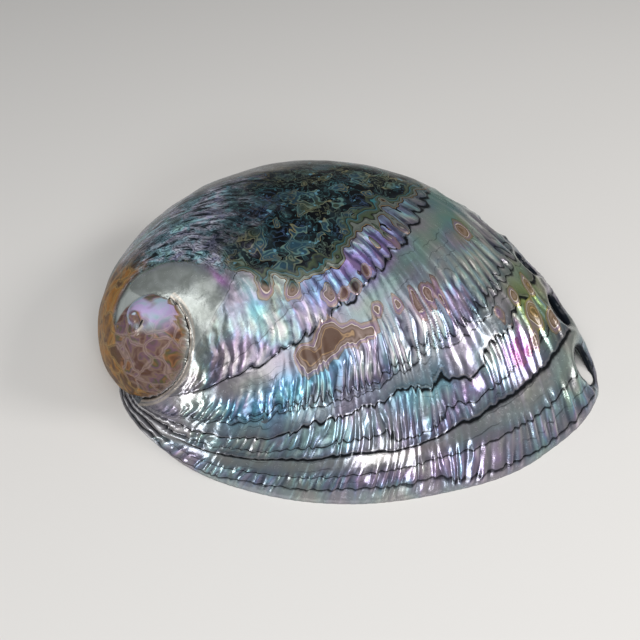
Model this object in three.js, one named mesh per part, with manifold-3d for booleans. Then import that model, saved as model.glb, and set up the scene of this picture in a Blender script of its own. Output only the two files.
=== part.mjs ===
// Abalone shell: one closed wall that grew along a logarithmic spiral, open below, with a row of breathing holes.
// Millimetres, +Z up. The shell rests on its lip, with its long side along X and the spire at -X.
import * as THREE from "three";
import { mergeVertices } from "three/addons/utils/BufferGeometryUtils.js";
import Module from "manifold-3d";

// Spiral: each older lip is the newest one, turned about the coiling axis and shrunk towards the apex.
const apex = new THREE.Vector3(-56, -18, 33.5);
const axisAzimuth = 225;
const axisElevation = 50;
const shrinkPerRadian = 0.366;
const coiledTurns = 2;

// Lip outline: radii at even angles about its centre, counter-clockwise from the front tip.
const lipCentre = new THREE.Vector2(1.4, -9.3);
const lipRadii = [71, 57, 45, 46, 48.5, 58, 67, 57, 47.5, 44, 46.8, 58];

// Wall.
const gridSteps = 44;
const wallThickness = 2.4;
const liningSmoothing = 14;
const thinnestWall = 2;
const farthestRadius = 80;
const radiusStep = 2;
const radiusHalvings = 14;
const ageSamples = 160;
const rimLift = 0.02;

// Flat shelf along the inner lip, on the side of the hole row.
const shelfWidth = 8;
const shelfHeight = 4;
const shelfMiddleAngle = 100;
const shelfHalfSpread = 75;
const shelfSmoothing = 3;

// Overhang between the hole row and the inner lip, worn smooth.
const wornMiddleAngle = 120;
const wornHalfSpread = 75;
const wornFullBelow = 0.2;
const wornNoneAbove = 0.5;
const wornSmoothing = 16;

// Breathing holes, from the newest back.
const openHoles = 5;
const firstHoleAngle = -6;
const holeAngleStep = 1.2;
const firstHoleTurn = 4.5;
const holeSpacingTurn = 9;
const firstHoleLength = 12;
const firstHoleWidth = 10;
const holeShrink = 0.88;
const holeCutterDepth = 14;
const holeSegments = 20;

const wasm = await Module();
wasm.setup();
const radians = THREE.MathUtils.degToRad;
const fullTurn = 2 * Math.PI;

const level = Math.cos(radians(axisElevation));
const coilAxis = new THREE.Vector3(
  level * Math.cos(radians(axisAzimuth)),
  level * Math.sin(radians(axisAzimuth)),
  Math.sin(radians(axisElevation)),
);

// Radius of the lip at an angle, as a smooth closed curve through the listed radii.
function lipRadius(angle) {
  const count = lipRadii.length;
  const place = (((angle / fullTurn) % 1) + 1) * count;
  const first = Math.floor(place);
  const t = place - first;
  const [a, b, c, d] = [-1, 0, 1, 2].map((step) => lipRadii[(first + step + count) % count]);
  const bend = (2 * a - 5 * b + 4 * c - d) * t * t + (3 * b - a - 3 * c + d) * t * t * t;
  return b + 0.5 * ((c - a) * t + bend);
}

// Point of the outer surface where the lip stood a given turn ago, at a given angle round the lip.
function surfacePoint(turn, angle) {
  const radius = lipRadius(angle);
  return new THREE.Vector3(
    lipCentre.x + radius * Math.cos(angle),
    lipCentre.y + radius * Math.sin(angle),
    0,
  )
    .sub(apex)
    .applyAxisAngle(coilAxis, turn)
    .multiplyScalar(Math.exp(-shrinkPerRadian * turn))
    .add(apex);
}

// Ages, in radians of turn, at which an inside test looks for a lip sweeping past a point.
const ages = Array.from({ length: ageSamples + 1 }, (_, i) => ((i - 0.5) * fullTurn * coiledTurns) / ageSamples);
const ageTable = ages.map((turn) => ({
  turn,
  growth: Math.exp(shrinkPerRadian * turn),
  cosine: Math.cos(turn),
  sine: Math.sin(turn),
}));

// The point carried forward from the age of an older lip to the newest one, as three functions of that age.
function carriedForward(point) {
  const offset = point.clone().sub(apex);
  const along = coilAxis.clone().multiplyScalar(offset.dot(coilAxis));
  const across = offset.clone().sub(along);
  const sideways = new THREE.Vector3().crossVectors(coilAxis, offset).negate();
  const coordinate = (name) => ({ growth, cosine, sine }) =>
    apex[name] + growth * (along[name] + across[name] * cosine + sideways[name] * sine);
  return { x: coordinate("x"), y: coordinate("y"), z: coordinate("z") };
}

// True where some lip swept down over the point while the shell grew.
function insideShell(point) {
  const carried = carriedForward(point);
  let before = carried.z(ageTable[0]);
  for (let i = 1; i < ageTable.length; i++) {
    const after = carried.z(ageTable[i]);
    if (before > 0 && after <= 0) {
      const share = before / (before - after);
      if (insideLip(carried, ages[i - 1] + share * (ages[i] - ages[i - 1]))) return true;
    }
    before = after;
  }
  return false;
}

function insideLip(carried, turn) {
  const age = { growth: Math.exp(shrinkPerRadian * turn), cosine: Math.cos(turn), sine: Math.sin(turn) };
  const x = carried.x(age) - lipCentre.x;
  const y = carried.y(age) - lipCentre.y;
  return Math.hypot(x, y) <= lipRadius(Math.atan2(y, x));
}

// Distance from the middle of the base to the outer surface, along a direction.
function outerRadius(direction) {
  const inside = (radius) => {
    const point = direction.clone().multiplyScalar(radius);
    point.z = Math.max(point.z, rimLift);
    return insideShell(point);
  };
  let outer = farthestRadius;
  while (!inside(outer - radiusStep)) outer -= radiusStep;
  let inner = outer - radiusStep;
  for (let i = 0; i < radiusHalvings; i++) {
    const middle = (outer + inner) / 2;
    if (inside(middle)) inner = middle;
    else outer = middle;
  }
  return inner;
}

// Square grid laid over the upper half of a sphere: the grid's edge becomes the level rim.
function domeDirection(u, v) {
  const reach = Math.max(Math.abs(u), Math.abs(v));
  if (reach === 0) return new THREE.Vector3(0, 0, 1);
  const round = Math.abs(u) > Math.abs(v)
    ? (Math.PI / 4) * (v / u) + (u < 0 ? Math.PI : 0)
    : Math.PI / 2 - (Math.PI / 4) * (u / v) + (v < 0 ? Math.PI : 0);
  const tilt = (reach * Math.PI) / 2;
  const level = reach >= 1 ? 0 : Math.cos(tilt);
  return new THREE.Vector3(Math.sin(tilt) * Math.cos(round), Math.sin(tilt) * Math.sin(round), level);
}

const side = gridSteps + 1;
const onEdge = (row, column) => row % gridSteps === 0 || column % gridSteps === 0;

// Average each value with its neighbours, a number of times; edge values only follow the edge.
function smoothed(values, times) {
  let result = values;
  for (let pass = 0; pass < times; pass++) {
    const last = result;
    result = last.map((value, i) => {
      const near = neighbours(i).map((j) => last[j]);
      return (value + near.reduce((sum, other) => sum + other, 0)) / (1 + near.length);
    });
  }
  return result;
}

function neighbours(i) {
  const row = Math.floor(i / side);
  const column = i % side;
  return [[row, column - 1], [row, column + 1], [row - 1, column], [row + 1, column]]
    .filter(([r, c]) => r >= 0 && c >= 0 && r < side && c < side)
    .filter(([r, c]) => !onEdge(row, column) || onEdge(r, c))
    .map(([r, c]) => r * side + c);
}

// How far the outer surface is worn smooth: fully under the overhang on the hole-row side, not at all elsewhere.
function wearAt(direction) {
  const azimuth = THREE.MathUtils.radToDeg(Math.atan2(direction.y, direction.x));
  const across = Math.exp(-(((azimuth - wornMiddleAngle) / wornHalfSpread) ** 4));
  return across * (1 - THREE.MathUtils.smoothstep(direction.z, wornFullBelow, wornNoneAbove));
}

// Extra width of the shelf at a direction: widest at the base on the hole-row side.
function shelfAt(direction, radius) {
  const azimuth = THREE.MathUtils.radToDeg(Math.atan2(direction.y, direction.x));
  const across = (azimuth - shelfMiddleAngle) / shelfHalfSpread;
  const rise = (direction.z * radius) / shelfHeight;
  return shelfWidth * Math.exp(-(across ** 4)) * Math.exp(-rise * rise);
}

function radiiOfWall(directions) {
  const grown = directions.map(outerRadius);
  const worn = smoothed(grown, wornSmoothing);
  const outer = grown.map((radius, i) => THREE.MathUtils.lerp(radius, worn[i], wearAt(directions[i])));
  const lining = smoothed(outer, liningSmoothing);
  const stepped = directions.map((direction, i) => {
    const wall = Math.min(outer[i], lining[i]) - wallThickness;
    return wall - shelfAt(direction, wall);
  });
  const inner = smoothed(stepped, shelfSmoothing).map((radius, i) => Math.min(radius, outer[i] - thinnestWall));
  return { outer, inner };
}

function shellWall() {
  const grid = new THREE.PlaneGeometry(2, 2, gridSteps, gridSteps);
  const flat = grid.getAttribute("position");
  const directions = [];
  for (let i = 0; i < flat.count; i++) directions.push(domeDirection(flat.getX(i), flat.getY(i)));
  const { outer, inner } = radiiOfWall(directions);
  const positions = [];
  directions.forEach((direction, i) => positions.push(...direction.clone().multiplyScalar(outer[i])));
  directions.forEach((direction, i) => positions.push(...direction.clone().multiplyScalar(inner[i])));
  const faces = [...grid.index.array];
  for (let i = 0; i < grid.index.count; i += 3) {
    const [a, b, c] = grid.index.array.slice(i, i + 3);
    faces.push(c + flat.count, b + flat.count, a + flat.count);
  }
  faces.push(...rimFaces(flat.count));
  const wall = new THREE.BufferGeometry();
  wall.setAttribute("position", new THREE.Float32BufferAttribute(positions, 3));
  wall.setIndex(faces);
  return wall;
}

// Level strip between the outer and the inner edge of the lip.
function rimFaces(inward) {
  const edge = [];
  for (let i = 0; i < gridSteps; i++) edge.push(i);
  for (let i = 0; i < gridSteps; i++) edge.push(i * side + gridSteps);
  for (let i = gridSteps; i > 0; i--) edge.push(gridSteps * side + i);
  for (let i = gridSteps; i > 0; i--) edge.push(i * side);
  return edge.flatMap((a, i) => {
    const b = edge[(i + 1) % edge.length];
    return [a, b, b + inward, a, b + inward, a + inward];
  });
}

// Oval cutter for one breathing hole, standing square to the shell's surface.
function holeCutter(number) {
  const turn = radians(firstHoleTurn + holeSpacingTurn * number);
  const angle = radians(firstHoleAngle + holeAngleStep * number);
  const small = 0.01;
  const middle = surfacePoint(turn, angle);
  const along = surfacePoint(turn + small, angle).sub(surfacePoint(turn - small, angle)).normalize();
  const around = surfacePoint(turn, angle + small).sub(surfacePoint(turn, angle - small));
  const normal = new THREE.Vector3().crossVectors(along, around).normalize();
  const across = new THREE.Vector3().crossVectors(normal, along);
  const scale = holeShrink ** number;
  const outline = new THREE.Shape();
  outline.absellipse(0, 0, (firstHoleLength * scale) / 2, (firstHoleWidth * scale) / 2, 0, fullTurn);
  return new THREE.ExtrudeGeometry(outline, {
    depth: holeCutterDepth,
    bevelEnabled: false,
    curveSegments: holeSegments,
  })
    .translate(0, 0, -holeCutterDepth / 2)
    .applyMatrix4(new THREE.Matrix4().makeBasis(along, across, normal).setPosition(middle));
}

function solidOf(geometry) {
  const bare = geometry.clone();
  bare.deleteAttribute("normal");
  bare.deleteAttribute("uv");
  const merged = mergeVertices(bare, 1e-4);
  return new wasm.Manifold(
    new wasm.Mesh({
      numProp: 3,
      vertProperties: new Float32Array(merged.attributes.position.array),
      triVerts: new Uint32Array(merged.index.array),
    }),
  );
}

function geometryOf(solid) {
  const mesh = solid.getMesh();
  const geometry = new THREE.BufferGeometry();
  geometry.setAttribute("position", new THREE.BufferAttribute(mesh.vertProperties, 3));
  geometry.setIndex(new THREE.BufferAttribute(mesh.triVerts, 1));
  geometry.computeVertexNormals();
  return geometry;
}

function shellGeometry() {
  let solid = solidOf(shellWall());
  for (let number = 0; number < openHoles; number++) {
    solid = solid.subtract(solidOf(holeCutter(number)));
  }
  const geometry = geometryOf(solid);
  geometry.computeBoundingBox();
  const middle = geometry.boundingBox.getCenter(new THREE.Vector3());
  return geometry.translate(-middle.x, -middle.y, -geometry.boundingBox.min.z);
}

const nacre = new THREE.MeshStandardMaterial({ color: 0x7c8379, roughness: 0.2, metalness: 0.1 });
const shell = new THREE.Mesh(shellGeometry(), nacre);
shell.name = "shell";

const abalone = new THREE.Group();
abalone.add(shell);

export default abalone;
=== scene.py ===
import math

import bmesh
import bpy
import numpy as np
from mathutils import Matrix, Vector, noise


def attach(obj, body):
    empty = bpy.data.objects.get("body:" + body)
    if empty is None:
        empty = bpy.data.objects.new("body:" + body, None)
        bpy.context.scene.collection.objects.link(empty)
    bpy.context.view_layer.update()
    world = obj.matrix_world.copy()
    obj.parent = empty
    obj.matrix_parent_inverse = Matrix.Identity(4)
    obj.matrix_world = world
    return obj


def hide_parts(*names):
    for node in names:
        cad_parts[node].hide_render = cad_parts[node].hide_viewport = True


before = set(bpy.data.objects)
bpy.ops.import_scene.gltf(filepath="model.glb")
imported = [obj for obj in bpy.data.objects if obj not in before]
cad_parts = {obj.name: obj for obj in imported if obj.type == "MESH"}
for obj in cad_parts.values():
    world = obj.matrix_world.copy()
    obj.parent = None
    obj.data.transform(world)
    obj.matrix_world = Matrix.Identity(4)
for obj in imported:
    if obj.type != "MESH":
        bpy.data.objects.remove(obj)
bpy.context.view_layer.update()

mm = 0.001  # the mesh is worked out in millimetres and written in metres

# Lengths are in millimetres and angles in degrees, also where they stand for the age of a lip.
# How the shell grew: every older lip is the newest one turned about the coil axis and shrunk to the apex
growth = {
    "apex": (-56.0, -18.0, 33.5),
    "axisAzimuth": 225,
    "axisElevation": 50,
    "shrinkPerRadian": 0.366,
    "coiledTurns": 2,
    "ageSamples": 150,
    "lipCentre": (1.4, -9.3),
    "lipRadii": [71, 57, 45, 46, 48.5, 58, 67, 57, 47.5, 44, 46.8, 58],
}

shell = {
    "outerCells": 264,
    "innerCells": 132,
    "coreShare": 0.66,       # how far out the rays start, as a share of the lip's radius
    "tiltPower": 1.7,
    "wall": 2.4,
    "thinnestWall": 1.6,
    "wornMiddle": 105,       # degrees round the base where the far side is worn smooth
    "wornSpread": 62,
    "wornUpTo": (8, 22),     # the wear fades out between these heights
    "wornBlur": 40,
    "liningBlur": 60,
    "farthest": 90,
    "step": 2.5,
}

innerLip = {"width": 8, "height": 4, "middle": 100, "spread": 75}

relief = {
    "pleatPeriod": 3.5,      # degrees round the lip
    "broadPeriod": 5.8,      # in the bands older than `broadFrom`
    "broadFrom": 48.8,
    "pleatHeight": 0.62,
    "pleatStrength": ((0, 0.2), (1.5, 0.8), (6, 1), (8.4, 0.15), (11.4, 0.08), (12.2, 0.5), (15.5, 0.8),
                      (21, 0.75), (22.3, 0.25), (26.6, 0.3), (28.6, 1.1), (35, 1), (39, 0.4), (43, 0.1),
                      (48.5, 0.12), (50, 1), (60, 0.9), (75, 0.6), (92, 0.3), (100, 0)),
    "pleatRound": ((-195, 0), (-172, 0.1), (-155, 0.8), (-15, 1), (-2, 0.5), (12, 0.3), (165, 0.2)),
    "arrests": ((1.3, 0.05), (6.3, 0.06), (11.6, 0.16), (15, 0.07), (22, 0.15), (26.6, 0.08), (28.6, 0.1),
                (49.2, 0.18), (60, 0.05), (94, 0.1)),
    "arrestFade": 3.5,
    "arrestEdge": 0.8,
    "bends": ((20, -135, 4, 22, 2.6), (12.5, -72, 2.2, 12, 2.6), (20, -56, 3, 12, 2.4), (18, -45, 3, 8, 2),
              (3.6, -95, 2.4, 48, -2.3), (26, -100, 3, 60, 0.6)),
    "layerPeriod": 6.5,      # degrees of growth, where the layers crowd together below the spire
    "layerHeight": 0.4,
    "crowdedAround": (-160, -148),
    "crowdedAge": (17, 27),
    "sutureDepth": 0.25,     # gap between the spire and the next whorl
    "sutureWidth": 0.9,
    "sutureMiddle": (-52, -21),
    "sutureSide": (0.75, -0.66),
    "lumpHeight": 0.35,
    "lipRound": 0.25,
}

holes = {
    "count": 5,
    "firstAround": -6,
    "aroundStep": 1.2,
    "firstAge": 4.5,
    "ageStep": 9,
    "length": 12,
    "width": 10,
    "shrink": 0.88,
    "rimHeight": 0.3,
    "rimPlace": 1.45,        # from the hole's middle, as a share of its radius
    "rimWidth": 0.28,
    "edgeSink": 0.8,
    "edgeWidth": 0.22,
    "pitEdge": (1.03, 1.16),
    "pitDepth": 8,
    "cutterLength": 16,
}


def axisVector():
    azimuth, elevation = math.radians(growth["axisAzimuth"]), math.radians(growth["axisElevation"])
    level = math.cos(elevation)
    return np.array([level * math.cos(azimuth), level * math.sin(azimuth), math.sin(elevation)])


apex = np.array(growth["apex"])
coilAxis = axisVector()
lipCentre = np.array(growth["lipCentre"])


def lipRadius(angle):
    # smooth closed curve through the listed radii
    radii = np.array(growth["lipRadii"], float)
    count = len(radii)
    place = (angle / (2 * math.pi) % 1) * count
    first = np.floor(place).astype(int)
    t = place - first
    a, b, c, d = (radii[(first + step) % count] for step in (-1, 0, 1, 2))
    bend = (2 * a - 5 * b + 4 * c - d) * t ** 2 + (3 * b - a - 3 * c + d) * t ** 3
    return b + 0.5 * ((c - a) * t + bend)


def surfacePoint(age, around):
    # point of the lip that stood `age` radians ago
    radius = lipRadius(around)
    flat = np.stack([lipCentre[0] + radius * np.cos(around), lipCentre[1] + radius * np.sin(around),
                     np.zeros_like(radius)], -1) - apex
    along = (flat @ coilAxis)[..., None] * coilAxis
    c, s = np.cos(age)[..., None], np.sin(age)[..., None]
    turned = along + (flat - along) * c + np.cross(coilAxis, flat) * s
    return apex + np.exp(-growth["shrinkPerRadian"] * age)[..., None] * turned


def lipMeetings(points, wanted=2):
    # for each point, the lips that passed over it: how far out on the lip, its age and the angle round it
    samples = growth["ageSamples"]
    ages = (np.arange(samples + 1) - 0.5) * 2 * math.pi * growth["coiledTurns"] / samples
    b = growth["shrinkPerRadian"]
    offset = points - apex
    along = (offset @ coilAxis)[:, None] * coilAxis
    across = offset - along
    sideways = -np.cross(coilAxis, offset)

    def carried(axis, age, rows=slice(None)):
        return apex[axis] + np.exp(b * age) * (
            along[rows, axis] + across[rows, axis] * np.cos(age) + sideways[rows, axis] * np.sin(age))

    best = np.full((len(points), wanted, 3), 9.0)
    before = carried(2, ages[0])
    for old, new in zip(ages[:-1], ages[1:]):
        after = carried(2, new)
        rows = np.nonzero((before > 0) & (after <= 0))[0]
        if len(rows):
            share = before[rows] / (before[rows] - after[rows])
            age = old + share * (new - old)
            x = carried(0, age, rows) - lipCentre[0]
            y = carried(1, age, rows) - lipCentre[1]
            around = np.arctan2(y, x)
            gauge = np.hypot(x, y) / lipRadius(around)
            entry = np.stack([gauge, age, around], -1)
            stack = np.concatenate([best[rows], entry[:, None]], 1)
            order = np.argsort(stack[:, :, 0], axis=1)[:, :wanted]
            best[rows] = np.take_along_axis(stack, order[:, :, None], 1)
        before = after
    return best


def roundGrid(cells):
    # unit square grid pressed into a disc
    mesh = bmesh.new()
    bmesh.ops.create_grid(mesh, x_segments=cells, y_segments=cells, size=1)
    mesh.verts.ensure_lookup_table()
    flat = np.array([v.co[:2] for v in mesh.verts])
    u, v = flat[:, 0], flat[:, 1]
    reach = np.maximum(abs(u), abs(v))
    wide = abs(u) > abs(v)
    safeU, safeV = np.where(u == 0, 1, u), np.where(v == 0, 1, v)
    psi = np.where(wide, math.pi / 4 * v / safeU + np.where(u < 0, math.pi, 0),
                   math.pi / 2 - math.pi / 4 * u / safeV + np.where(v < 0, math.pi, 0))
    psi = np.where(reach == 0, 0, psi)
    return mesh, np.minimum(reach, 1), psi


def rays(reach, psi):
    # start points inside the shell and directions fanning from straight up to level at the lip
    start = shell["coreShare"] * reach * lipRadius(psi)
    origin = np.stack([lipCentre[0] + start * np.cos(psi), lipCentre[1] + start * np.sin(psi),
                       np.zeros_like(psi)], -1)
    tilt = math.pi / 2 * reach ** shell["tiltPower"]
    rise = np.where(reach > 0.9999, 0, np.cos(tilt))
    direction = np.stack([np.sin(tilt) * np.cos(psi), np.sin(tilt) * np.sin(psi), rise], -1)
    return origin, direction


def outerReach(origin, direction):
    # distance along each ray to the last place that a lip passed over
    def inside(distance, rows):
        points = origin[rows] + direction[rows] * distance[:, None]
        points[:, 2] = np.maximum(points[:, 2], 0.02)
        return lipMeetings(points, 1)[:, 0, 0] <= 1

    count = len(origin)
    far = np.full(count, float(shell["farthest"]))
    searching = np.arange(count)
    while len(searching):
        far[searching] -= shell["step"]
        hit = inside(far[searching], searching)
        searching = searching[~hit & (far[searching] > shell["step"])]
    low, high = far.copy(), far + shell["step"]
    everyRow = np.arange(count)
    for _ in range(12):
        middle = (low + high) / 2
        hit = inside(middle, everyRow)
        low = np.where(hit, middle, low)
        high = np.where(hit, high, middle)
    return low


def blur(values, times):
    # average each grid value with its neighbours
    side = int(round(math.sqrt(len(values))))
    grid = values.reshape(side, side)
    for _ in range(times):
        padded = np.pad(grid, 1, mode="edge")
        grid = (grid + padded[:-2, 1:-1] + padded[2:, 1:-1] + padded[1:-1, :-2] + padded[1:-1, 2:]) / 5
    return grid.reshape(-1)


def smoothStep(low, high, value):
    t = np.clip((value - low) / (high - low), 0, 1)
    return t * t * (3 - 2 * t)


def through(pairs, value):
    # straight lines through listed pairs
    table = np.array(pairs, float)
    return np.interp(value, table[:, 0], table[:, 1])


def softNoise(points, seed):
    shift = Vector((seed * 17.3, seed * 5.1, seed * 9.7))
    return np.array([noise.noise(Vector(p) + shift) for p in points])


def placeGrid(mesh, places):
    for vert, place in zip(mesh.verts, places):
        vert.co = place


def shelfWidth(points):
    # the flat inner lip runs along the hole-row side of the base
    angle = np.degrees(np.arctan2(points[:, 1], points[:, 0]))
    return innerLip["width"] * np.exp(-((angle - innerLip["middle"]) / innerLip["spread"]) ** 4) * np.exp(
        -(points[:, 2] / innerLip["height"]) ** 2)


def wallMesh():
    # outer and inner skins as two grids, joined round the lip
    outer, reach, psi = roundGrid(shell["outerCells"])
    origin, direction = rays(reach, psi)
    distance = outerReach(origin, direction)
    points = origin + direction * distance[:, None]
    roundBase = np.degrees(np.arctan2(points[:, 1], points[:, 0]))
    wear = np.exp(-((roundBase - shell["wornMiddle"]) / shell["wornSpread"]) ** 4)
    wear *= 1 - smoothStep(*shell["wornUpTo"], points[:, 2])
    distance += (blur(distance, shell["wornBlur"]) - distance) * wear
    placeGrid(outer, origin + direction * distance[:, None])
    inner, reach2, psi2 = roundGrid(shell["innerCells"])
    origin2, direction2 = rays(reach2, psi2)
    side = shell["outerCells"] + 1
    every = shell["outerCells"] // shell["innerCells"]
    lining = blur(distance, shell["liningBlur"]).reshape(side, side)[::every, ::every].reshape(-1)
    own = distance.reshape(side, side)[::every, ::every].reshape(-1)
    inside = np.minimum(own, lining) - shell["wall"]
    inside -= shelfWidth(origin2 + direction2 * inside[:, None])
    inside = np.minimum(blur(inside, 4), own - shell["thinnestWall"])
    placeGrid(inner, origin2 + direction2 * inside[:, None])
    bmesh.ops.reverse_faces(inner, faces=inner.faces)
    part = bpy.data.meshes.new("lining")
    inner.to_mesh(part)
    outer.from_mesh(part)
    bpy.data.meshes.remove(part)
    inner.free()
    bmesh.ops.bridge_loops(outer, edges=[e for e in outer.edges if e.is_boundary])
    for vert in outer.verts:
        vert.co.z = max(vert.co.z, 0)
    return outer


def holeFrame(number):
    age = np.array(math.radians(holes["firstAge"] + holes["ageStep"] * number))
    around = np.array(math.radians(holes["firstAround"] + holes["aroundStep"] * number))
    small = 0.01
    middle = surfacePoint(age, around)
    along = Vector(surfacePoint(age + small, around) - surfacePoint(age - small, around)).normalized()
    across = Vector(surfacePoint(age, around + small) - surfacePoint(age, around - small))
    normal = along.cross(across).normalized()
    return Vector(middle), along, normal.cross(along), normal


def holeCutters():
    cutter = bmesh.new()
    for number in range(holes["count"]):
        middle, along, across, normal = holeFrame(number)
        size = holes["shrink"] ** number
        made = bmesh.ops.create_cone(cutter, cap_ends=True, segments=56, radius1=0.5, radius2=0.5,
                                     depth=holes["cutterLength"])
        scale = Matrix.Diagonal((holes["length"] * size, holes["width"] * size, 1, 1))
        turn = Matrix((along, across, normal)).transposed().to_4x4()
        bmesh.ops.transform(cutter, verts=made["verts"], matrix=Matrix.Translation(middle) @ turn @ scale)
    return cutter


def objectOf(name, mesh):
    data = bpy.data.meshes.new(name)
    mesh.to_mesh(data)
    mesh.free()
    made = bpy.data.objects.new(name, data)
    bpy.context.scene.collection.objects.link(made)
    return made


def cutHoles(piece, cutter):
    cut = piece.modifiers.new("holes", "BOOLEAN")
    cut.operation = "DIFFERENCE"
    cut.solver = "EXACT"
    cut.object = cutter
    graph = bpy.context.evaluated_depsgraph_get()
    finished = bpy.data.meshes.new_from_object(piece.evaluated_get(graph))
    piece.modifiers.clear()
    old = piece.data
    piece.data = finished
    bpy.data.meshes.remove(old)
    bpy.data.objects.remove(cutter, do_unlink=True)


def placesOf(data):
    places = np.empty(len(data.vertices) * 3)
    data.vertices.foreach_get("co", places)
    return places.reshape(-1, 3)


def growthFields(points):
    # age and angle of each point, how far it is from the next whorl, and the outward direction there
    lifted = points.copy()
    lifted[:, 2] = np.maximum(lifted[:, 2], 0.02)
    meetings = lipMeetings(lifted, 2)
    age, angle = meetings[:, 0, 1], meetings[:, 0, 2]
    step = 1e-3
    alongAge = surfacePoint(age + step, angle) - surfacePoint(age - step, angle)
    alongLip = surfacePoint(age, angle + step) - surfacePoint(age, angle - step)
    normal = np.cross(alongLip, alongAge)
    normal /= np.maximum(np.linalg.norm(normal, axis=1), 1e-9)[:, None]
    scale = np.exp(-growth["shrinkPerRadian"] * age)
    otherSize = np.exp(-growth["shrinkPerRadian"] * meetings[:, 1, 1]) * 50
    around = (np.degrees(angle) - 165) % 360 - 195
    wander = softNoise(np.stack([around / 12, np.degrees(age) / 9, 0 * age], -1), 11)
    wanderFine = softNoise(np.stack([around / 4, np.degrees(age) / 4, 0 * age], -1), 12)
    return {
        "wander": wander,
        "wanderFine": wanderFine,
        "dark": (np.degrees(age) + 4 * wander + 2.5 * wanderFine - through(darkFrom, around)) / 7,
        "gauge": meetings[:, 0, 0],
        "age": np.degrees(age),
        "band": bandAge(np.degrees(age), around),
        "around": around,
        "scale": scale,
        "suture": np.where(meetings[:, 1, 0] < 5, (meetings[:, 1, 0] - 1) * otherSize, 50),
        "normal": normal,
    }


def bandAge(age, around):
    # age with the growth bands made wider or narrower where they swell or pinch
    band = age.copy()
    for atAge, atAngle, tall, wide, shift in relief["bends"]:
        band += shift * np.exp(-((age - atAge) / tall) ** 2 - ((around - atAngle) / wide) ** 4)
    return band


def pleats(field):
    # ridges that run with the growth, their phase wandering a little, broken into beads
    place = np.stack([field["around"] / 13, field["age"] / 20, 0 * field["age"]], -1)
    fine = np.stack([field["around"] / 4.5, field["age"] / 8, 0 * field["age"]], -1)
    period = np.where(field["band"] > relief["broadFrom"], relief["broadPeriod"], relief["pleatPeriod"])
    drift = 1.1 * softNoise(place, 1) + 0.6 * softNoise(fine, 2)
    phase = (field["around"] + drift * relief["pleatPeriod"]) / period
    beads = 0.8 + 0.9 * softNoise(fine * [1.3, 2.6, 1], 3) + 0.5 * softNoise(fine * [3.1, 4, 1], 7)
    strength = through(relief["pleatStrength"], field["band"])
    strength *= through(relief["pleatRound"], field["around"])
    strength *= 1 - 0.92 * smoothStep(-0.2, 0.2, field["dark"])
    crest = (0.5 + 0.5 * np.cos(2 * math.pi * phase)) ** 1.1 - 0.45
    return phase, strength, crest * strength * np.clip(beads, 0.05, 1.7)


def arrestAge(field, ridge):
    # age bent into the scalloped run of the growth lines
    place = np.stack([field["around"] / 9, field["age"] / 14, 0 * field["age"]], -1)
    fine = np.stack([field["around"] / 3, field["age"] / 6, 0 * field["age"]], -1)
    calm = smoothStep(8, 26, field["age"]) * 0.8 + 0.2
    wavy = 2.4 * ridge - 2.0 * softNoise(place, 4) - 1.1 * softNoise(fine, 5)
    return field["band"] + calm * wavy


def ledges(bent):
    height = np.zeros_like(bent)
    for line, step in relief["arrests"]:
        past = bent - line
        height += step * smoothStep(-relief["arrestEdge"], relief["arrestEdge"], past) * np.exp(
            -np.maximum(past, 0) / relief["arrestFade"])
    return height


def holeRelief(points):
    # raised rims round the holes, and a mask of the holes themselves, whose walls the finish paints ink as
    # painted shade
    height, pit = np.zeros(len(points)), np.zeros(len(points))
    for number in range(holes["count"]):
        middle, along, across, normal = holeFrame(number)
        size = holes["shrink"] ** number
        offset = points - np.array(middle)
        far = np.hypot(offset @ np.array(along) / (holes["length"] * size / 2),
                       offset @ np.array(across) / (holes["width"] * size / 2))
        near = abs(offset @ np.array(normal)) < holes["pitDepth"]
        rim = holes["rimHeight"] * np.exp(-((far - holes["rimPlace"]) / holes["rimWidth"]) ** 2)
        sunk = holes["edgeSink"] * np.exp(-(np.maximum(far - 1, 0) / holes["edgeWidth"]) ** 2)
        pit = np.maximum(pit, near * (1 - smoothStep(*holes["pitEdge"], far)))
        height += near * size * (rim - sunk)
    return height, pit


def keepFields(data, store):
    # one value per point of the mesh, for the finish to read
    for name, values in store.items():
        data.attributes.new(name, "FLOAT", "POINT").data.foreach_set("value", values.astype(np.float32))


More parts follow.
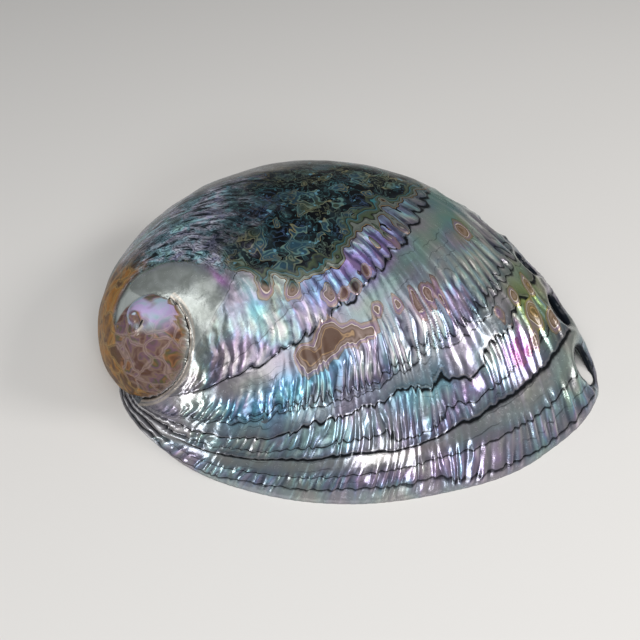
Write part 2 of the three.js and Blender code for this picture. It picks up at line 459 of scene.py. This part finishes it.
def sculpt(piece):
    data = piece.data
    points = placesOf(data)
    field = growthFields(points)
    outside = smoothStep(0.975, 0.995, field["gauge"])
    facing = np.empty(len(data.vertices) * 3)
    data.vertex_normals.foreach_get("vector", facing)
    faceOut = smoothStep(-0.35, 0.05, (facing.reshape(-1, 3) * field["normal"]).sum(1))
    phase, strength, ridge = pleats(field)
    bent = arrestAge(field, ridge)
    lumps = softNoise(points / 9, 6)
    height = relief["pleatHeight"] * ridge * field["scale"] ** 0.4 + ledges(bent)
    height += relief["lumpHeight"] * lumps * smoothStep(0, 6, points[:, 2])
    crowded = 1 - smoothStep(*relief["crowdedAround"], field["around"])
    crowded *= 1 - smoothStep(*relief["crowdedAge"], field["age"])
    layerPhase = (bent + 3.5 * field["wander"] + 1.5 * field["wanderFine"]) / relief["layerPeriod"]
    height += relief["layerHeight"] * crowded * np.cos(2 * math.pi * layerPhase)
    toGap = (points[:, :2] - relief["sutureMiddle"]) @ relief["sutureSide"]
    gap = smoothStep(-3, 4, toGap) * np.exp(-(np.maximum(field["suture"], 0) / relief["sutureWidth"]) ** 2)
    height -= relief["sutureDepth"] * gap
    rims, pit = holeRelief(points)
    height += rims
    height -= relief["lipRound"] * (1 - smoothStep(0, 1.6, points[:, 2])) ** 2
    level = points[:, 2].copy()
    moved = points + field["normal"] * (height * outside)[:, None]
    moved[:, 2] = np.where(level < 0.001, 0, np.maximum(moved[:, 2], 0))
    low, high = moved.min(0), moved.max(0)
    middle = (low + high) / 2 * [1, 1, 0]
    print("middle of the box", middle.round(2), "size", (high - low).round(2))
    data.vertices.foreach_set("co", ((moved - middle) * mm).reshape(-1))
    data.update()
    data.shade_smooth()
    store = {
        "bentAge": bent, "plainAge": field["age"], "around": field["around"], "phase": phase, "ridge": ridge,
        "strength": strength, "dark": field["dark"], "outside": faceOut, "crowded": crowded, "pit": pit,
        "layerPhase": layerPhase,
        "suture": np.where(toGap > -2, np.clip(field["suture"], 0, 50), 50),
    }
    keepFields(data, store)
    return {**field, **store}


# Tints of the nacre: colour, then age and angle in the middle, then how far each way, then strength
tints = {
    "stripBeige": ((0.235, 0.215, 0.195), 10, -60, 1.9, 80, 0.9),
    "lipPale": ((0.36, 0.355, 0.35), 0.2, -80, 1.3, 70, 0.9),
    "lipPink": ((0.36, 0.25, 0.36), 4, -60, 3, 30, 0.5),
    "lipGreen": ((0.32, 0.40, 0.33), 6, -25, 5, 24, 0.7),
    "bandGreen": ((0.28, 0.40, 0.37), 17, -100, 4.5, 24, 0.7),
    "bandPink": ((0.40, 0.26, 0.42), 17, -56, 4, 14, 0.7),
    "bandCyan": ((0.2, 0.42, 0.52), 21, -68, 3.5, 14, 0.75),
    "bandPale": ((0.34, 0.32, 0.38), 25, -70, 2.2, 40, 0.6),
    "tealEdge": ((0.06, 0.22, 0.19), 45, -14, 7, 13, 0.9),
    "violetPatch": ((0.46, 0.10, 0.56), 17, -30, 3.5, 6, 1),
    "limePatch": ((0.30, 0.37, 0.06), 20, -17, 6, 9, 1),
    "limeRing": ((0.22, 0.24, 0.07), 39, -21, 3, 5, 0.9),
    "cyanBand": ((0.10, 0.38, 0.55), 33, -128, 8, 20, 0.8),
    "blueFingers": ((0.14, 0.36, 0.52), 34, -103, 4, 12, 0.7),
    "pinkBand": ((0.22, 0.16, 0.27), 34, -62, 6, 24, 0.75),
    "creamRibs": ((0.38, 0.37, 0.31), 33, -25, 6, 12, 0.7),
    "greySide": ((0.25, 0.26, 0.25), 42, -152, 6, 16, 0.8),
    "greyStrip": ((0.165, 0.235, 0.195), 45, -50, 2.8, 36, 0.9),
    "violetBand": ((0.22, 0.13, 0.38), 54, -68, 6, 30, 0.85),
    "blueBand": ((0.12, 0.20, 0.40), 59, -95, 6, 14, 0.75),
    "creamSide": ((0.16, 0.14, 0.125), 72, -158, 22, 14, 0.9),
    "cyanSide": ((0.08, 0.30, 0.33), 76, -130, 16, 4, 0.7),
    "loopPink": ((0.26, 0.20, 0.24), 66, -142, 12, 5, 0.6),
    "oliveSide": ((0.19, 0.16, 0.12), 76, -119, 9, 9, 0.8),
    "violetEdge": ((0.36, 0.16, 0.40), 104, -136, 9, 3, 0.9),
    "smoothOlive": ((0.21, 0.215, 0.19), 125, -158, 28, 20, 0.95),
}
plainNacre = (0.215, 0.21, 0.23)

# Where polishing has cut into older layers: age, angle, size in degrees each way, how deep
blotches = (
    (43.5, -103, 6, 7.5, 1.25), (40, -113, 4.4, 5.5, 1.05), (44.5, -116, 3.4, 3.4, 0.95),
    (41, -92, 4.4, 5.5, 0.95), (39, -84, 3, 4.5, 0.9), (42, -77, 2.4, 3.5, 0.75), (40, -67, 2.8, 2.2, 0.85),
    (37, -59, 4.6, 2.1, 0.95), (37, -53, 3.2, 2.6, 0.85), (35, -48, 4.6, 2.0, 0.85), (39, -21, 2.8, 3.2, 1.0),
    (54.5, -95.5, 3.6, 3.8, 0.95), (51.5, -88, 1.8, 3, 1.5), (51, -81, 1.6, 2.8, 1.5),
    (51.5, -72, 1.7, 1.6, 1.4), (66, -110, 4.2, 4.8, 1.0), (77, -121, 7, 5, 0.95), (19, -19, 2.6, 2.8, 1.1),
    (15, -13, 2, 3, 0.9), (23, -14, 2, 2.4, 1.0), (24, -22, 1.8, 2.2, 0.9), (16, -23, 1.6, 2, 0.8),
    (24, -31, 1.8, 2.6, 0.6), (16.5, -29, 3, 5, 0.42), (53, -58, 4, 2.2, 0.5), (52, -50, 4.5, 2.2, 0.5),
    (53, -42, 4, 2.4, 0.5),
)

# Where the dark layers begin, by angle round the lip
darkFrom = (
    (-195, 260), (-142, 200), (-136, 122), (-128, 92), (-120, 82), (-112, 76), (-105, 68), (-95, 63),
    (-85, 60), (-75, 58), (-62, 59), (-50, 59), (-38, 57), (-25, 53), (-15, 49), (0, 46), (30, 34), (165, 30),
)


# Where each finish fades in or out, by age and by angle round the lip
zones = {
    "mottledAge": (86, 118),
    "mottledAround": (-140, -131),
    "smoothAge": (92, 96),
    "smoothAround": (-147, -135),
    "bronzeAge": (150, 190),
    "bronzeAround": (-140, -125),
    "spireAge": (262, 268),
}


def paintFields(data, field):
    # soft colour and mask fields, kept on the mesh for the finish to read
    age, bent, around = field["plainAge"], field["bentAge"], field["around"]
    wander, wanderFine = field["wander"], field["wanderFine"]
    tint = np.tile(np.array(plainNacre), (len(age), 1))
    for colour, atAge, atAngle, ageSpread, angleSpread, share in tints.values():
        shift = ((bent - atAge) / ageSpread) ** 2 + ((around + 3 * wander - atAngle) / angleSpread) ** 2
        weight = share * np.exp(-(shift ** 1.6))
        tint += (np.array(colour) - tint) * weight[:, None]
    cut = np.maximum(field["dark"], -0.3)
    for atAge, atAngle, tall, wide, deep in blotches:
        offAge, offAngle = age + 0.9 * wanderFine - atAge, around + 1.2 * wanderFine - atAngle
        far = np.hypot(offAge / tall, offAngle / wide)
        cut += deep * np.exp(-1.1 * far ** 2.4)
    cut += 0.3 * field["ridge"] * (1 - smoothStep(0.6, 1, cut))
    # painted shade on the older side of each old lip's edge
    shade = np.zeros(len(age))
    for line, step in relief["arrests"]:
        past = bent - line
        shade += (0.4 + 4.2 * step) * smoothStep(-0.6, 0.3, past) * np.exp(-np.maximum(past, 0) / 2.3)
    mottled = smoothStep(*zones["mottledAge"], age + 12 * wander + 8 * wanderFine)
    mottled *= smoothStep(*zones["mottledAround"], around)
    smooth = smoothStep(*zones["smoothAge"], bent)
    smooth *= 1 - smoothStep(*zones["smoothAround"], around + 2 * wander)
    bronze = smoothStep(*zones["bronzeAge"], age + 12 * wander) * smoothStep(*zones["bronzeAround"], around)
    spire = smoothStep(*zones["spireAge"], age + 3 * wanderFine)
    store = {
        "cut": np.clip(cut, -1, 2.5), "shade": shade, "mottled": mottled, "smooth": smooth, "bronze": bronze,
        "spire": spire,
    }
    keepFields(data, store)
    rgba = np.concatenate([tint, np.ones((len(age), 1))], 1).astype(np.float32)
    data.attributes.new("tint", "FLOAT_COLOR", "POINT").data.foreach_set("color", rgba.reshape(-1))


class Wires:
    # short calls for a material's nodes
    def __init__(self, name):
        self.paint = bpy.data.materials.new(name)
        self.paint.use_nodes = True
        self.tree = self.paint.node_tree
        self.body = self.tree.nodes["Principled BSDF"]

    def put(self, socket, value):
        if isinstance(value, bpy.types.NodeSocket):
            self.tree.links.new(value, socket)
        else:
            socket.default_value = value

    def field(self, name, output="Fac"):
        made = self.tree.nodes.new("ShaderNodeAttribute")
        made.attribute_name = name
        return made.outputs[output]

    def math(self, operation, *values, clamp=False):
        made = self.tree.nodes.new("ShaderNodeMath")
        made.operation = operation
        made.use_clamp = clamp
        for socket, value in zip(made.inputs, values):
            self.put(socket, value)
        return made.outputs[0]

    def place(self, x, y, z=0.0):
        made = self.tree.nodes.new("ShaderNodeCombineXYZ")
        for socket, value in zip(made.inputs, (x, y, z)):
            self.put(socket, value)
        return made.outputs[0]

    def object(self):
        return self.tree.nodes.new("ShaderNodeTexCoord").outputs["Object"]

    def noise(self, where, scale, detail=2.0, rough=0.5, bend=0.0):
        made = self.tree.nodes.new("ShaderNodeTexNoise")
        self.put(made.inputs["Vector"], where)
        self.put(made.inputs["Scale"], scale)
        self.put(made.inputs["Detail"], detail)
        self.put(made.inputs["Roughness"], rough)
        self.put(made.inputs["Distortion"], bend)
        return made.outputs["Fac"]

    def shifted(self, where, scale, amount):
        # coordinates pushed about by a noise
        made = self.tree.nodes.new("ShaderNodeTexNoise")
        self.put(made.inputs["Vector"], where)
        self.put(made.inputs["Scale"], scale)
        push = self.tree.nodes.new("ShaderNodeVectorMath")
        push.operation = "MULTIPLY_ADD"
        self.put(push.inputs[0], made.outputs["Color"])
        push.inputs[1].default_value = (amount,) * 3
        self.put(push.inputs[2], where)
        return push.outputs[0]

    def cells(self, where, scale, feature, output):
        made = self.tree.nodes.new("ShaderNodeTexVoronoi")
        made.feature = feature
        self.put(made.inputs["Vector"], where)
        self.put(made.inputs["Scale"], scale)
        return made.outputs[output]

    def ramp(self, value, *stops, mode="LINEAR"):
        made = self.tree.nodes.new("ShaderNodeValToRGB")
        made.color_ramp.interpolation = mode
        points = made.color_ramp.elements
        while len(points) < len(stops):
            points.new(0.5)
        for point, (position, colour) in zip(points, stops):
            point.position = position
            point.color = (colour,) * 3 + (1,) if isinstance(colour, (int, float)) else (*colour, 1)
        self.put(made.inputs["Fac"], value)
        return made.outputs["Color"]

    def span(self, value, low, high, toLow=0.0, toHigh=1.0):
        made = self.tree.nodes.new("ShaderNodeMapRange")
        made.interpolation_type = "SMOOTHSTEP"
        for socket, number in zip(made.inputs, (value, low, high, toLow, toHigh)):
            self.put(socket, number)
        return made.outputs[0]

    def mix(self, share, first, second, blend="MIX"):
        made = self.tree.nodes.new("ShaderNodeMix")
        made.data_type = "RGBA"
        made.blend_type = blend
        self.put(made.inputs["Factor"], share)
        for name, colour in (("A", first), ("B", second)):
            socket = [i for i in made.inputs if i.name == name and i.type == "RGBA"][0]
            self.put(socket, colour if isinstance(colour, bpy.types.NodeSocket) else (*colour, 1))
        return [o for o in made.outputs if o.type == "RGBA"][0]


shades = {
    "violet": (0.27, 0.16, 0.46),
    "magenta": (0.50, 0.31, 0.58),
    "pink": (0.62, 0.50, 0.60),
    "cream": (0.74, 0.70, 0.64),
    "green": (0.38, 0.62, 0.48),
    "cyan": (0.17, 0.60, 0.68),
    "blue": (0.10, 0.26, 0.60),
    "black": (0.003, 0.004, 0.005),
    "ink": (0.008, 0.011, 0.016),
    "navy": (0.02, 0.028, 0.06),
    "teal": (0.03, 0.16, 0.18),
    "gold": (0.16, 0.13, 0.04),
    "moss": (0.055, 0.075, 0.04),
    "brown": (0.085, 0.04, 0.02),
    "ochre": (0.34, 0.21, 0.10),
    "taupe": (0.19, 0.125, 0.10),
    "mauve": (0.21, 0.12, 0.17),
    "plum": (0.09, 0.05, 0.14),
    "lilac": (0.42, 0.34, 0.58),
    "bronze": (0.22, 0.105, 0.022),
    "pale": (0.66, 0.56, 0.47),
    "rim": (0.50, 0.44, 0.38),
    "silver": (0.75, 0.75, 0.78),
}


def arrestLines(w, age):
    # 0.5 is plain nacre, 0 the dark edge of an old lip, 1 the pale line behind it
    lines = relief["arrests"]
    parts = []
    for first in range(0, len(lines), 5):
        group = lines[first:first + 5]
        low, high = group[0][0] - 2, group[-1][0] + 3
        stops = [(0.0, 0.5)]
        for line, step in group:
            wide = 0.16 + 1.4 * step
            shape = ((-2.2, 0.5), (-0.5, 0.25 - step), (0.3, 0.2 - step), (1.0, 0.55 + step), (2.2, 0.5))
            for shift, level in shape:
                stops.append(((line + shift * wide - low) / (high - low), max(level, 0.0)))
        parts.append(w.ramp(w.math("DIVIDE", w.math("SUBTRACT", age, low), high - low), *stops))
    lowest = parts[0]
    for part in parts[1:]:
        lowest = w.math("ADD", lowest, w.math("SUBTRACT", part, 0.5))
    return lowest


def grainOf(w):
    # the coordinates and noises that several layers of the finish share
    place = w.object()
    return {
        "place": place,
        "warped": w.shifted(place, 130, 0.004),
        "fine": w.noise(place, 900, 3, 0.6),
        "medium": w.noise(place, 210, 2, 0.55, 0.6),
        "broad": w.noise(place, 60, 1),
    }


def pearl(w, grain):
    # colour turns with the slope of the pleats, a painted reflection colour for how light falls on each
    # flank, and drifts from place to place as the nacre's own play of colour
    bent, around, phase = w.field("bentAge"), w.field("around"), w.field("phase")
    strength, ridge, tint = w.field("strength"), w.field("ridge"), w.field("tint", "Color")
    # painted reflection colour: the hue shifts with the pleat slope, standing for light falling on each flank
    slope = w.math("MULTIPLY", w.math("SINE", w.math("MULTIPLY", phase, 2 * math.pi)), strength)
    drift = w.math("MULTIPLY_ADD", grain["broad"], 2.4, w.math("MULTIPLY_ADD", grain["medium"], 0.5, -0.7))
    drive = w.math("MULTIPLY_ADD", slope, 0.12, drift)
    rainbow = w.ramp(w.math("FRACT", drive), (0.0, shades["violet"]), (0.1, shades["magenta"]),
                     (0.2, shades["pink"]), (0.36, shades["cream"]), (0.52, shades["green"]),
                     (0.7, shades["cyan"]), (0.87, shades["blue"]), (1.0, shades["violet"]))
    colour = w.mix(w.math("MULTIPLY_ADD", strength, 0.15, 0.08), tint, rainbow)
    # painted shade: the pleat valleys darkened towards navy
    paintedValleyShade = w.span(ridge, -0.42, -0.02, 0.85, 0)
    colour = w.mix(paintedValleyShade, colour, w.mix(0.22, shades["navy"], tint))
    # painted highlight: pale dashes along the pleat crests
    dashPlace = w.place(w.math("MULTIPLY", phase, 1.9), w.math("MULTIPLY", bent, 0.16))
    highlightDashes = w.span(w.noise(dashPlace, 1.0, 1, 0.6), 0.4, 0.62, 0, 0.65)
    paintedCrestHighlight = w.math("MULTIPLY", w.span(ridge, 0.05, 0.42), highlightDashes)
    colour = w.mix(paintedCrestHighlight, colour, w.mix(0.2, rainbow, (0.9, 0.88, 0.9)))
    streakPlace = w.place(w.math("MULTIPLY", around, 0.55), w.math("MULTIPLY", bent, 0.11))
    streak = w.noise(streakPlace, 1.0, 1)
    # painted sheen: pale streaks screened over the pleats
    paintedSheen = w.math("MULTIPLY", w.span(streak, 0.55, 0.72), w.math("MULTIPLY_ADD", strength, 0.5, 0.12))
    colour = w.mix(paintedSheen, colour, w.mix(0.3, rainbow, (0.8, 0.8, 0.8)), "SCREEN")
    dulled = w.math("MULTIPLY", w.span(streak, 0.45, 0.3), w.math("MULTIPLY_ADD", strength, 0.45, 0.1))
    return rainbow, w.mix(dulled, colour, w.mix(0.4, shades["navy"], tint))


def oldLips(w, grain, colour):
    # edges of old lips, dark with painted shade behind them on the older side, the fine lines between them
    # and the crowded layers
    bent = w.field("bentAge")
    ragged = w.math("MULTIPLY_ADD", w.noise(grain["place"], 500, 2), 0.7, -0.35)
    line = arrestLines(w, w.math("ADD", bent, ragged))
    # painted shade: navy laid on the older side of each old lip
    colour = w.mix(w.math("MULTIPLY", w.field("shade"), 0.7, clamp=True), colour, shades["navy"])
    colour = w.mix(w.span(line, 0.5, 0.9, 0, 0.4), colour, shades["pale"])
    colour = w.mix(w.span(line, 0.1, 0.48, 0.97, 0), colour, shades["black"])
    grown = w.place(w.math("MULTIPLY", w.field("around"), 0.05), w.math("MULTIPLY", bent, 0.12))
    minor = w.math("FRACT", w.math("ADD", w.math("MULTIPLY", bent, 0.42), w.noise(grown, 2.2, 3)))
    minorLine = w.ramp(minor, (0.0, 1.0), (0.035, 1.0), (0.08, 0.0), (0.97, 0.0), (1.0, 1.0))
    minorOn = w.span(w.noise(grown, 1.3, 1), 0.48, 0.62, 0, 0.6)
    colour = w.mix(w.math("MULTIPLY", minorLine, minorOn), colour, shades["ink"])
    layers = w.ramp(w.math("FRACT", w.field("layerPhase")), (0.0, shades["silver"]),
                    (0.15, (0.26, 0.25, 0.27)), (0.36, shades["ink"]), (0.46, shades["black"]),
                    (0.52, (0.22, 0.21, 0.22)), (0.7, (0.12, 0.115, 0.125)), (0.82, (0.3, 0.29, 0.3)),
                    (1.0, shades["silver"]))
    return line, w.mix(w.math("MULTIPLY", w.field("crowded"), 0.92), colour, layers)


def cutLayers(w, cut, colour):
    # layers cut open by the polishing, ringed like a map; greener and darker beside the dark top
    level = w.math("MULTIPLY", cut, 0.6)
    agate = w.ramp(level, (0.0, shades["brown"]), (0.03, shades["brown"]), (0.045, shades["ochre"]),
                   (0.07, shades["taupe"]), (0.15, shades["mauve"]), (0.2, shades["plum"]),
                   (0.225, shades["pale"]), (0.25, shades["brown"]), (0.36, shades["taupe"]),
                   (0.42, shades["brown"]), (0.44, shades["ochre"]), (0.47, shades["brown"]),
                   (1.0, shades["brown"]))
    belt = w.ramp(level, (0.0, shades["black"]), (0.03, shades["black"]), (0.04, shades["ochre"]),
                  (0.06, (0.10, 0.12, 0.11)), (0.13, (0.16, 0.18, 0.16)), (0.16, shades["black"]),
                  (0.18, shades["moss"]), (0.27, (0.045, 0.07, 0.075)), (0.285, shades["teal"]),
                  (0.3, shades["ink"]), (0.38, shades["moss"]), (0.42, shades["ink"]))
    agate = w.mix(w.span(cut, 0.05, 0.5, 0.4, 0.1), agate, w.field("tint", "Color"))
    agate = w.mix(w.span(w.field("dark"), -1.6, -0.6), agate, belt)
    return w.mix(w.span(cut, 0.0, 0.012), colour, agate)


def darkTop(w, grain, cut, colour):
    # small rings of teal, blue and gold on black, with islands where the dark layers begin
    warped, medium, broad = grain["warped"], grain["medium"], grain["broad"]
    rings = w.math("FRACT", w.math("MULTIPLY", w.noise(warped, 250, 2, 0.55, 0.4), 5.5))
    hue = w.ramp(broad, (0.35, (0.045, 0.08, 0.16)), (0.45, (0.04, 0.125, 0.14)), (0.55, (0.10, 0.14, 0.115)),
                 (0.65, shades["gold"]))
    ringLine = w.ramp(rings, (0.0, 0.0), (0.34, 0.0), (0.43, 1.0), (0.49, 0.12), (0.62, 0.08), (0.68, 0.8),
                      (0.72, 0.0), (1.0, 0.0))
    ground = w.mix(w.span(medium, 0.45, 0.7), shades["black"], (0.012, 0.02, 0.024))
    paint = w.mix(w.math("MULTIPLY", ringLine, 0.9), ground, hue)
    hills = w.noise(warped, 210, 1, 0.5, 0.4)
    island = w.ramp(hills, (0.0, 0.0), (0.52, 0.0), (0.53, 0.9), (1.0, 0.9))
    shore = w.ramp(hills, (0.52, 1.0), (0.545, 1.0), (0.56, 0.0), (0.6, 0.0), (0.615, 0.8), (0.635, 0.8),
                   (0.65, 0.0), (0.69, 0.0), (0.7, 0.6), (0.72, 0.0))
    fill = w.mix(w.span(broad, 0.45, 0.55), (0.02, 0.05, 0.075), w.mix(0.5, shades["moss"], shades["ink"]))
    shorePaint = w.mix(w.span(medium, 0.4, 0.6), (0.17, 0.16, 0.09), (0.09, 0.17, 0.16))
    nearEdge = w.span(w.field("dark"), 5, 2.5)
    paint = w.mix(w.math("MULTIPLY", island, nearEdge), paint, w.mix(shore, fill, shorePaint))
    # painted glints: small teal specks on the dark top
    paint = w.mix(w.span(w.noise(warped, 420, 2, 0.6), 0.66, 0.72, 0, 0.8), paint, (0.10, 0.24, 0.32))
    deep = w.math("MULTIPLY", w.span(w.field("dark"), 0.2, 1.0), w.span(cut, 0.45, 0.8))
    return w.mix(deep, colour, paint)


def greyFlecks(w, grain, colour):
    # grey-blue flecks behind the dark top, drawn out along the growth, and the smooth side beside the spire
    age, around = w.field("plainAge"), w.field("around")
    along = w.place(w.math("MULTIPLY", around, 0.13), w.math("MULTIPLY", age, 0.05))
    paint = w.ramp(w.noise(along, 2.1, 3, 0.6, 0.7), (0.36, shades["ink"]), (0.43, (0.07, 0.08, 0.095)),
                   (0.48, (0.35, 0.37, 0.43)), (0.515, (0.03, 0.035, 0.045)), (0.56, (0.22, 0.235, 0.275)),
                   (0.62, (0.56, 0.59, 0.66)), (0.68, (0.1, 0.11, 0.13)))
    hue = w.ramp(grain["medium"], (0.3, (0.75, 0.72, 1.0)), (0.45, (1.0, 0.95, 1.0)),
                 (0.58, (0.55, 0.95, 1.0)), (0.7, (0.6, 1.0, 0.85)))
    paint = w.mix(0.9, paint, hue, "MULTIPLY")
    patches = w.span(w.noise(grain["warped"], 90, 2), 0.5, 0.62)
    paint = w.mix(patches, paint, w.mix(0.35, shades["ink"], paint))
    colour = w.mix(w.math("MULTIPLY", w.field("mottled"), 0.9), colour, paint)
    smoothPaint = w.mix(w.span(grain["medium"], 0.35, 0.65), (0.26, 0.285, 0.27), (0.35, 0.38, 0.37))
    return w.mix(w.field("smooth"), colour, smoothPaint)


def brownCells(w, grain, colour):
    # brown cells of the flank and the spire, with a pearly lilac cap on the spire, partly the nacre's own
    # colour and partly a painted highlight
    medium = grain["medium"]
    cellPlace = w.shifted(w.shifted(grain["place"], 110, 0.011), 300, 0.0016)
    edge = w.cells(cellPlace, 150, "DISTANCE_TO_EDGE", "Distance")
    tone = w.cells(cellPlace, 150, "F1", "Color")
    swirl = w.math("FRACT", w.math("MULTIPLY_ADD", medium, 2.2, w.math("MULTIPLY", tone, 0.9)))
    flank = w.ramp(swirl, (0.0, shades["brown"]), (0.3, shades["bronze"]), (0.5, (0.30, 0.125, 0.018)),
                   (0.7, (0.08, 0.04, 0.012)), (1.0, shades["brown"]))
    crown = w.ramp(swirl, (0.0, shades["brown"]), (0.16, (0.22, 0.10, 0.045)), (0.32, (0.08, 0.075, 0.035)),
                   (0.48, (0.13, 0.07, 0.10)), (0.64, (0.17, 0.11, 0.08)), (0.82, (0.10, 0.05, 0.045)),
                   (1.0, shades["brown"]))
    rimOn = w.span(edge, 0.04, 0.11, 0.45, 0)
    gapOn = w.span(edge, 0.0, 0.035, 0.45, 0)
    flank = w.mix(gapOn, w.mix(rimOn, flank, (0.36, 0.24, 0.09)), (0.03, 0.018, 0.01))
    crown = w.mix(gapOn, w.mix(rimOn, crown, (0.34, 0.25, 0.22)), (0.06, 0.03, 0.025))
    colour = w.mix(w.field("bronze"), colour, flank)
    colour = w.mix(w.field("spire"), colour, crown)
    # lilac cap: pearly nacre colour with a painted highlight on the spire top
    cap = w.math("MULTIPLY", w.field("spire"), w.span(w.field("plainAge"), 345, 400, 0, 0.85))
    cap = w.math("MULTIPLY", cap, w.span(w.noise(grain["warped"], 150, 2), 0.36, 0.5))
    return w.mix(cap, colour, w.mix(w.span(medium, 0.4, 0.6), shades["lilac"], (0.3, 0.42, 0.5)))


def whorlGap(w, colour):
    # gap between the whorls: painted shade, black, in the groove, inside a painted highlight along its pale
    # double edge
    older = w.span(w.field("plainAge"), 180, 220)
    gap = w.math("MULTIPLY_ADD", older, -1.1, w.field("suture"))
    paintedRimHighlight = w.ramp(w.math("MULTIPLY", gap, 0.25), (0.0, 0.8), (0.28, 0.8), (0.35, 0.1), (0.42, 0.65),
                    (0.5, 0.65), (0.57, 0.0))
    # painted highlight along the pale edges of the gap
    colour = w.mix(paintedRimHighlight, colour, shades["rim"])
    # painted shade: the groove itself blacked in
    return w.mix(w.span(gap, 0.6, 1.0, 0.97, 0), colour, shades["black"])


def polishedNacre():
    w = Wires("polishedNacre")
    grain = grainOf(w)
    rainbow, colour = pearl(w, grain)
    line, colour = oldLips(w, grain, colour)
    cut = w.math("ADD", w.field("cut"), w.math("SUBTRACT", w.noise(grain["warped"], 150, 2, 0.5), 0.5))
    colour = cutLayers(w, cut, colour)
    colour = darkTop(w, grain, cut, colour)
    colour = greyFlecks(w, grain, colour)
    colour = brownCells(w, grain, colour)
    colour = whorlGap(w, colour)
    fine, medium = grain["fine"], grain["medium"]
    lining = w.mix(w.span(medium, 0.3, 0.7), (0.42, 0.46, 0.46), w.mix(0.5, rainbow, (0.5, 0.52, 0.5)))
    colour = w.mix(w.span(w.field("outside"), 0.2, 0.8), lining, colour)
    # painted shade: the walls of the holes painted ink
    w.put(w.body.inputs["Base Color"], w.mix(w.field("pit"), colour, shades["ink"]))

    # metal-like gloss where the nacre is whole, duller where layers are cut and inside the holes
    whole = w.math("SUBTRACT", 1.0, w.field("pit"))
    gloss = w.math("MULTIPLY_ADD", w.field("bronze"), -0.15, w.span(cut, 0.4, 1.0, 0.42, 0.07), clamp=True)
    rough = w.math("MULTIPLY_ADD", w.field("bronze"), 0.2, w.span(fine, 0.3, 0.7, 0.18, 0.28))
    w.put(w.body.inputs["Roughness"], rough)
    w.put(w.body.inputs["Metallic"], w.math("MULTIPLY", w.span(cut, 0.0, 0.5, 0.55, 0.1), whole))
    w.put(w.body.inputs["Coat Weight"], w.math("MULTIPLY", gloss, whole))
    w.body.inputs["Specular IOR Level"].default_value = 0.15
    w.body.inputs["Coat Roughness"].default_value = 0.04
    w.body.inputs["Coat IOR"].default_value = 1.5
    bump = w.tree.nodes.new("ShaderNodeBump")
    bump.inputs["Strength"].default_value = 0.35
    bump.inputs["Distance"].default_value = 0.0003
    texture = w.math("MULTIPLY_ADD", fine, 0.12, medium)
    w.put(bump.inputs["Height"], w.math("MULTIPLY_ADD", line, 0.15, texture))
    w.put(w.body.inputs["Normal"], bump.outputs["Normal"])
    return w.paint


lamps = {
    "windowLight": {"size": (0.38, 0.3), "power": 1.3, "colour": (1, 0.99, 0.97),
                    "place": (-0.2, -0.35, 0.51), "aim": (0, 0, 0.01)},
    "frontLight": {"size": (0.18, 0.14), "power": 1.2, "colour": (0.94, 0.97, 1),
                   "place": (0.16, -0.52, 0.34), "aim": (0, 0, 0.01)},
    "sideLight": {"size": (0.18, 0.14), "power": 1.4, "colour": (1, 0.98, 0.96),
                  "place": (0.46, -0.05, 0.37), "aim": (0, 0, 0.02)},
    "lowLight": {"size": (0.14, 0.08), "power": 0.5, "colour": (0.97, 0.98, 1),
                 "place": (-0.5, -0.27, 0.1), "aim": (-0.05, -0.03, 0.01)},
    "ceilingLight": {"size": (0.7, 0.4), "power": 1.9, "colour": (1, 0.99, 0.98),
                     "place": (0.05, -0.12, 0.75), "aim": (0, 0, 0)},
}


def towards(place, aim):
    return (Vector(aim) - Vector(place)).to_track_quat("-Z", "Y").to_euler()


def stageAndLight():
    floor = objectOf("floor", floorMesh())
    floor.data.materials.append(floorPaint())
    for name, spec in lamps.items():
        lamp = bpy.data.lights.new(name, "AREA")
        lamp.shape = "RECTANGLE"
        lamp.size, lamp.size_y = spec["size"]
        lamp.energy = spec["power"]
        lamp.color = spec["colour"]
        made = bpy.data.objects.new(name, lamp)
        made.location = spec["place"]
        made.rotation_euler = towards(spec["place"], spec["aim"])
        bpy.context.scene.collection.objects.link(made)
    world = bpy.data.worlds.new("room")
    bpy.context.scene.world = world
    world.use_nodes = True
    sky = world.node_tree.nodes["Background"]
    sky.inputs["Color"].default_value = (0.82, 0.86, 0.9, 1)
    sky.inputs["Strength"].default_value = 0.16
    bpy.context.scene.view_settings.view_transform = "Standard"


def floorMesh():
    mesh = bmesh.new()
    bmesh.ops.create_grid(mesh, x_segments=1, y_segments=1, size=1.5)
    return mesh


def floorPaint():
    paint = bpy.data.materials.new("palePaper")
    paint.use_nodes = True
    body = paint.node_tree.nodes["Principled BSDF"]
    body.inputs["Base Color"].default_value = (0.68, 0.665, 0.645, 1)
    body.inputs["Roughness"].default_value = 0.7
    return paint


view = {"lens": 49.5, "place": (-0.0076, -0.1751, 0.1928), "aim": (-0.0076, 0.0125, 0)}


def makeCamera():
    camera = bpy.data.cameras.new("camera")
    camera.lens = view["lens"]
    camera.sensor_width = 36
    made = bpy.data.objects.new("camera", camera)
    made.location = view["place"]
    made.rotation_euler = towards(view["place"], view["aim"])
    bpy.context.scene.collection.objects.link(made)
    bpy.context.scene.camera = made


makeCamera()
stageAndLight()
wall = objectOf("abalone_shell", wallMesh())
print("wall made:", len(wall.data.vertices), "points")
cutHoles(wall, objectOf("cutters", holeCutters()))
print("holes cut")
paintFields(wall.data, sculpt(wall))
wall.data.materials.clear()
wall.data.materials.append(polishedNacre())
print("relief done:", sum(len(p.vertices) - 2 for p in wall.data.polygons), "triangles")

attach(wall, "root")
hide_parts("shell")
